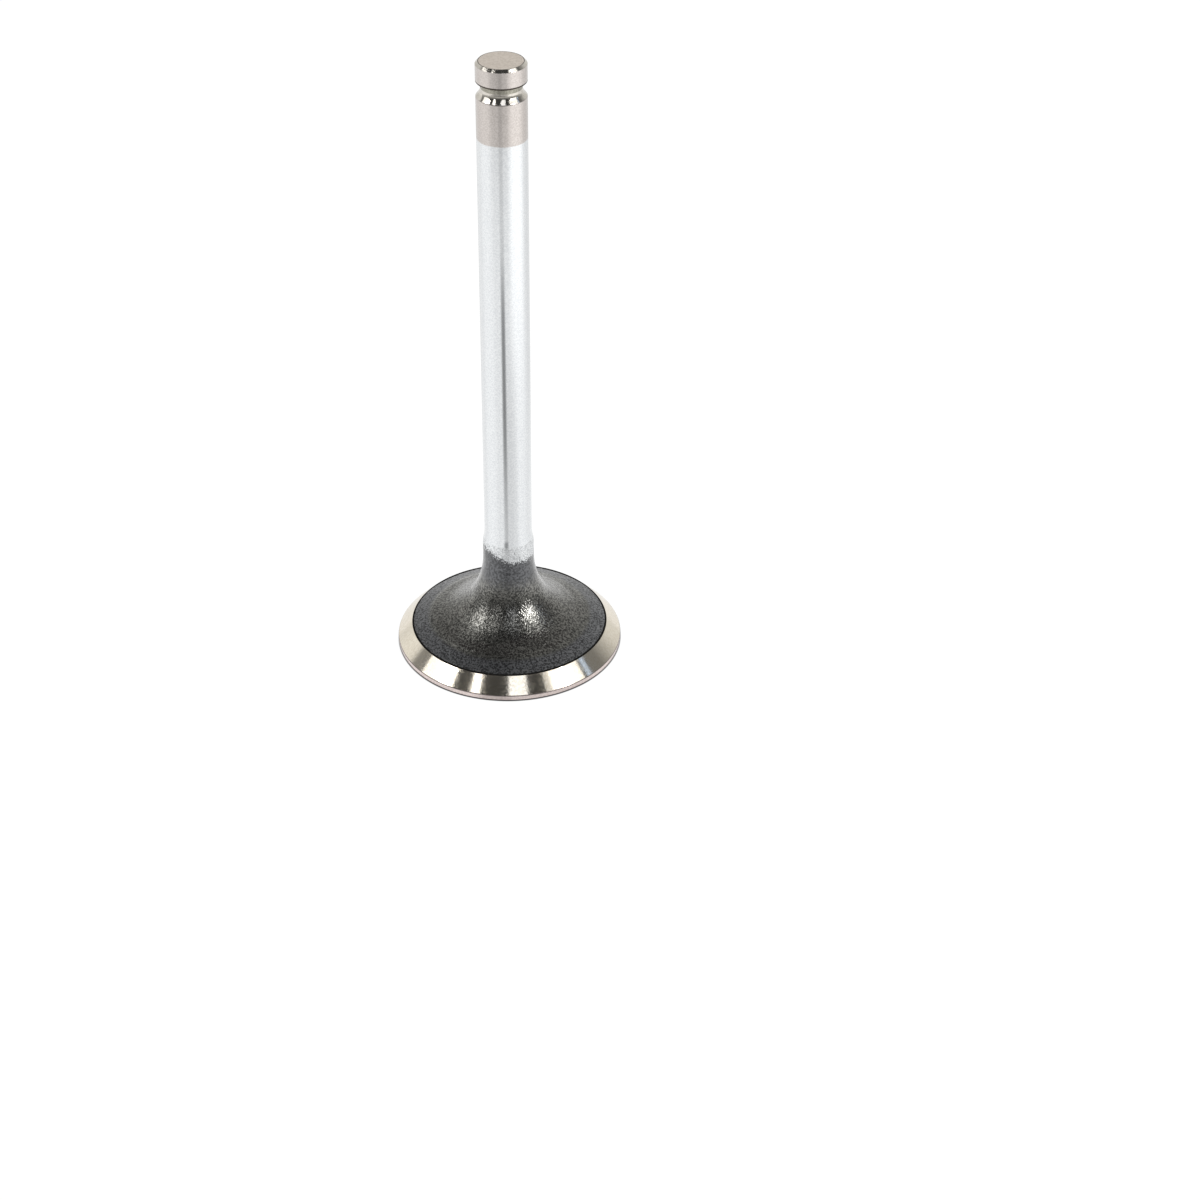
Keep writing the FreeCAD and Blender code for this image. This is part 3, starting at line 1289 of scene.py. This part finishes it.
# What is taken off as a share, as painted shade seen in reflections: a narrow dark streak towards the camera,
# a weak broad one to the rear, and the far part of the floor on the camera's side, where the studio is dark.
SHADED_PATCHES = (
    Patch(-0.148, -0.989, Fade(0.98, 0.9985), (Fade(40.0, 100.0, 0.35, 0.85), Fade(140.0, 190.0, 1.0, 0.3))),
    Patch(0.25, 0.968, Fade(0.45, 0.9), (Fade(50.0, 120.0, 0.0, 0.14),)),
    Patch(-0.2, -0.98, Fade(0.5, 1.0, 0.0, 0.8), (Fade(150.0, 500.0),)),
)


@dataclass(frozen=True)
class Wing:
    """One half of the backdrop, by how nearly a direction points to the rear.

    Attributes:
        edge: Where the half sets in.
        skirt: Dimmer light beside its edge.
        middle: How its brightness changes towards the middle of the rear.
    """

    edge: Fade
    skirt: Fade
    middle: Fade

    def share(self, behind: Field) -> Field:
        """Returns how much of the backdrop's colour shows."""
        return behind.ramp(*self.edge).at_least(behind.ramp(*self.skirt)) * behind.ramp(*self.middle)


# The backdrop left and right of the valve, as the stem's reflections show it.
LEFT_WING = Wing(edge=Fade(0.3, 0.44), skirt=Fade(0.1, 0.2, 0.0, 0.29), middle=Fade(0.5, 0.85, 1.25, 0.86))
RIGHT_WING = Wing(edge=Fade(0.0, 0.8), skirt=Fade(0.0, 0.08, 0.0, 0.24), middle=Fade(0.6, 0.85, 1.0, 0.87))


@dataclass(frozen=True)
class Viewpoint:
    """Where the photograph was taken from, and through which lens.

    Attributes:
        place: The camera's place in metres.
        yaw: How far it looks to the right in degrees.
        pitch: How far it looks down in degrees.
        roll: How far it is turned anticlockwise in degrees.
        lens: Focal length in millimetres.
        sensor: Width of the sensor in millimetres.
    """

    place: tuple[float, float, float] = (0.0, -0.42567, 0.30281)
    yaw: float = 2.4858
    pitch: float = 34.6556
    roll: float = 0.5409
    lens: float = 76.251
    sensor: float = 36.0

    def set_camera(self) -> None:
        """Puts the camera there."""
        yaw, pitch, roll = (math.radians(angle) for angle in (self.yaw, self.pitch, self.roll))
        right = Vector((math.cos(yaw), -math.sin(yaw), 0.0))
        ahead = Vector((math.sin(yaw) * math.cos(pitch), math.cos(yaw) * math.cos(pitch), -math.sin(pitch)))
        up = right.cross(ahead)
        side = right * math.cos(roll) + up * math.sin(roll)
        top = up * math.cos(roll) - right * math.sin(roll)
        lens = bpy.data.cameras.new("camera")
        lens.sensor_width = self.sensor
        lens.lens = self.lens
        camera = bpy.data.objects.new("camera", lens)
        turned = Matrix((side, top, -ahead)).transposed().to_4x4()
        camera.matrix_world = Matrix.Translation(self.place) @ turned
        bpy.context.scene.collection.objects.link(camera)
        bpy.context.scene.camera = camera


@dataclass(frozen=True)
class Studio:
    """Backdrop, floor, lamps and camera. Distances on the floor are from the axis, in millimetres.

    Attributes:
        view: Where the camera stands.
        room: Colour of the dark room in front and overhead.
        backdrop: Colour of the pale backdrop behind.
        halves: Where the backdrop's right half takes over, by how far a direction points to the right.
        overhead: Share of the backdrop that is lost straight overhead, by the same.
        overhead_power: How late that loss sets in.
        low_glow: Share of pale light low in the room, by the height of a direction.
        horizon: Share of pale light under the horizon, by the same.
        floor_size: Side of the floor in metres.
        floor_gap: How far the floor lies under the valve in metres, so that the two don't share a plane.
        paper: Colour of the floor where lamps light it.
        floor_level: Brightness of the floor in reflections, before its patches.
        contact: Painted shadow at the head's foot: how the floor darkens towards it in reflections.
        under_head: How bright the floor under the head is in reflections.
        crevice: Painted shadow under the head's edge: how the floor darkens there to the camera.
        shadow_share: How much of the floor's own shading the camera sees.
        fill: Strength of the broad lamp overhead.
        fill_angle: Width of that lamp in degrees.
        aim: Point in metres that the softboxes face.
    """

    view: Viewpoint = field(default_factory=Viewpoint)
    room: str = "414141"
    backdrop: str = "F1F1EF"
    halves: Fade = Fade(-0.15, 0.15)
    overhead: Fade = Fade(-0.15, 0.15, 0.95, 0.62)
    overhead_power: float = 1.3
    low_glow: Fade = Fade(-0.1, 0.55, 0.66, 0.0)
    horizon: Fade = Fade(-0.12, -0.02, 1.0, 0.0)
    floor_size: float = 8.0
    floor_gap: float = 0.00003
    paper: str = "F2F2F2"
    floor_level: float = 0.895
    contact: Fade = Fade(HEAD_RADIUS, HEAD_RADIUS + 0.5, 0.12, 1.0)
    under_head: Fade = Fade(HEAD_RADIUS - 1.2, HEAD_RADIUS - 0.5, 0.8, 0.0)
    crevice: Fade = Fade(HEAD_RADIUS - 0.12, HEAD_RADIUS + 0.2)
    shadow_share: float = 0.1
    fill: float = 2.9
    fill_angle: float = 70.0
    aim: tuple[float, float, float] = (0.0, 0.0, 0.03)

    def light_world(self) -> None:
        """Makes a dark room with a pale backdrop behind the valve, white to the camera."""
        world = bpy.data.worlds.new("studio")
        bpy.context.scene.world = world
        tree = empty_tree(world)
        way = Place(tree, "Generated", unit=1.0)
        behind = way.toward(0.0, 1.0)
        side = way.across.ramp(*self.halves)
        wall = LEFT_WING.share(behind) * (1.0 - side) + RIGHT_WING.share(behind) * side
        lost = way.height.at_least(0.0) ** self.overhead_power * way.across.ramp(*self.overhead)
        pale = (wall * (1.0 - lost)).at_least(way.height.ramp(*self.low_glow))
        pale = pale.at_least(way.height.ramp(*self.horizon))
        colours = {0: pale, 6: linear(self.room), 7: linear(self.backdrop)}
        mirrored = add_node(tree, "ShaderNodeMix", MIX_COLOURS, colours).outputs[2]
        seen = add_node(tree, "ShaderNodeLightPath", {}, {}).outputs["Is Camera Ray"]
        colour = add_node(tree, "ShaderNodeMix", MIX_COLOURS, {0: seen, 6: mirrored, 7: WHITE}).outputs[2]
        glow = add_node(tree, "ShaderNodeBackground", {}, {"Color": colour, "Strength": 1.0}).outputs[0]
        add_node(tree, "ShaderNodeOutputWorld", {}, {0: glow})

    def floor_glow(self, place: Place) -> Field:
        """Works out how bright the floor is in reflections.

        Args:
            place: Where the floor's points lie.

        Returns:
            Its brightness.
        """
        level: Field | float = self.floor_level
        for patch in ADDED_PATCHES:
            level = patch.share(place) + level
        for patch in SHADED_PATCHES:
            level = (1.0 - patch.share(place)) * level
        under_head = place.from_axis.ramp(*self.under_head)
        # Painted shadow at the head's foot, seen in reflections.
        return place.from_axis.ramp(*self.contact).at_least(under_head) * level

    def floor_paper(self) -> bpy.types.Material:
        """Makes the floor's material: white to the camera with a trace of shadow, and paper in reflections.

        Returns:
            The material.
        """
        made = bpy.data.materials.new("floor_paper")
        tree = empty_tree(made)
        place = Place(tree)
        rays = add_node(tree, "ShaderNodeLightPath", {}, {}).outputs
        seen = Field(rays["Is Camera Ray"])
        mirrored = Field(rays["Is Glossy Ray"]).at_least(Field(rays["Is Transmission Ray"]))
        # The camera sees a painted shadow under the head's edge.
        levels = {0: seen, 6: self.floor_glow(place), 7: place.from_axis.ramp(*self.crevice)}
        level = add_node(tree, "ShaderNodeMix", MIX_COLOURS, levels).outputs[2]
        shining = add_node(tree, "ShaderNodeEmission", {}, {"Color": level, "Strength": 1.0}).outputs[0]
        lit = add_node(tree, "ShaderNodeBsdfDiffuse", {}, {"Color": linear(self.paper)}).outputs[0]
        share = mirrored.at_least(seen) * (1.0 - self.shadow_share)
        top = add_node(tree, "ShaderNodeMixShader", {}, {0: share, 1: lit, 2: shining}).outputs[0]
        below = add_node(tree, "ShaderNodeNewGeometry", {}, {}).outputs["Backfacing"]
        clear = add_node(tree, "ShaderNodeBsdfTransparent", {}, {}).outputs[0]
        mixed = add_node(tree, "ShaderNodeMixShader", {}, {0: below, 1: top, 2: clear}).outputs[0]
        add_node(tree, "ShaderNodeOutputMaterial", {}, {0: mixed})
        return made

    def lay_floor(self) -> None:
        """Lays the floor."""
        half = self.floor_size / 2
        corners = ((-half, -half), (half, -half), (half, half), (-half, half))
        mesh = bpy.data.meshes.new("floor")
        mesh.from_pydata([(x, y, -self.floor_gap) for x, y in corners], [], [(0, 1, 2, 3)])
        floor = bpy.data.objects.new("floor", mesh)
        bpy.context.scene.collection.objects.link(floor)
        mesh.materials.append(self.floor_paper())

    def hang_fill(self) -> None:
        """Hangs a broad lamp overhead, which lights the floor and stays out of reflections."""
        lamp = bpy.data.lights.new("overhead_fill", "SUN")
        lamp.energy = self.fill
        lamp.angle = math.radians(self.fill_angle)
        holder = bpy.data.objects.new("overhead_fill", lamp)
        holder.visible_glossy = False
        bpy.context.scene.collection.objects.link(holder)

    def build(self) -> None:
        """Sets up the whole studio."""
        self.view.set_camera()
        bpy.context.scene.view_settings.view_transform = "Standard"
        self.light_world()
        self.lay_floor()
        self.hang_fill()
        for softbox in SOFTBOXES:
            softbox.hang(Vector(self.aim))
        log.info("studio ready")


def main() -> None:
    """Builds the studio and the valve."""
    logging.basicConfig(level=logging.INFO, format="%(name)s: %(message)s")
    Studio().build()
    Valve().build()


if __name__ == "__main__":
    main()
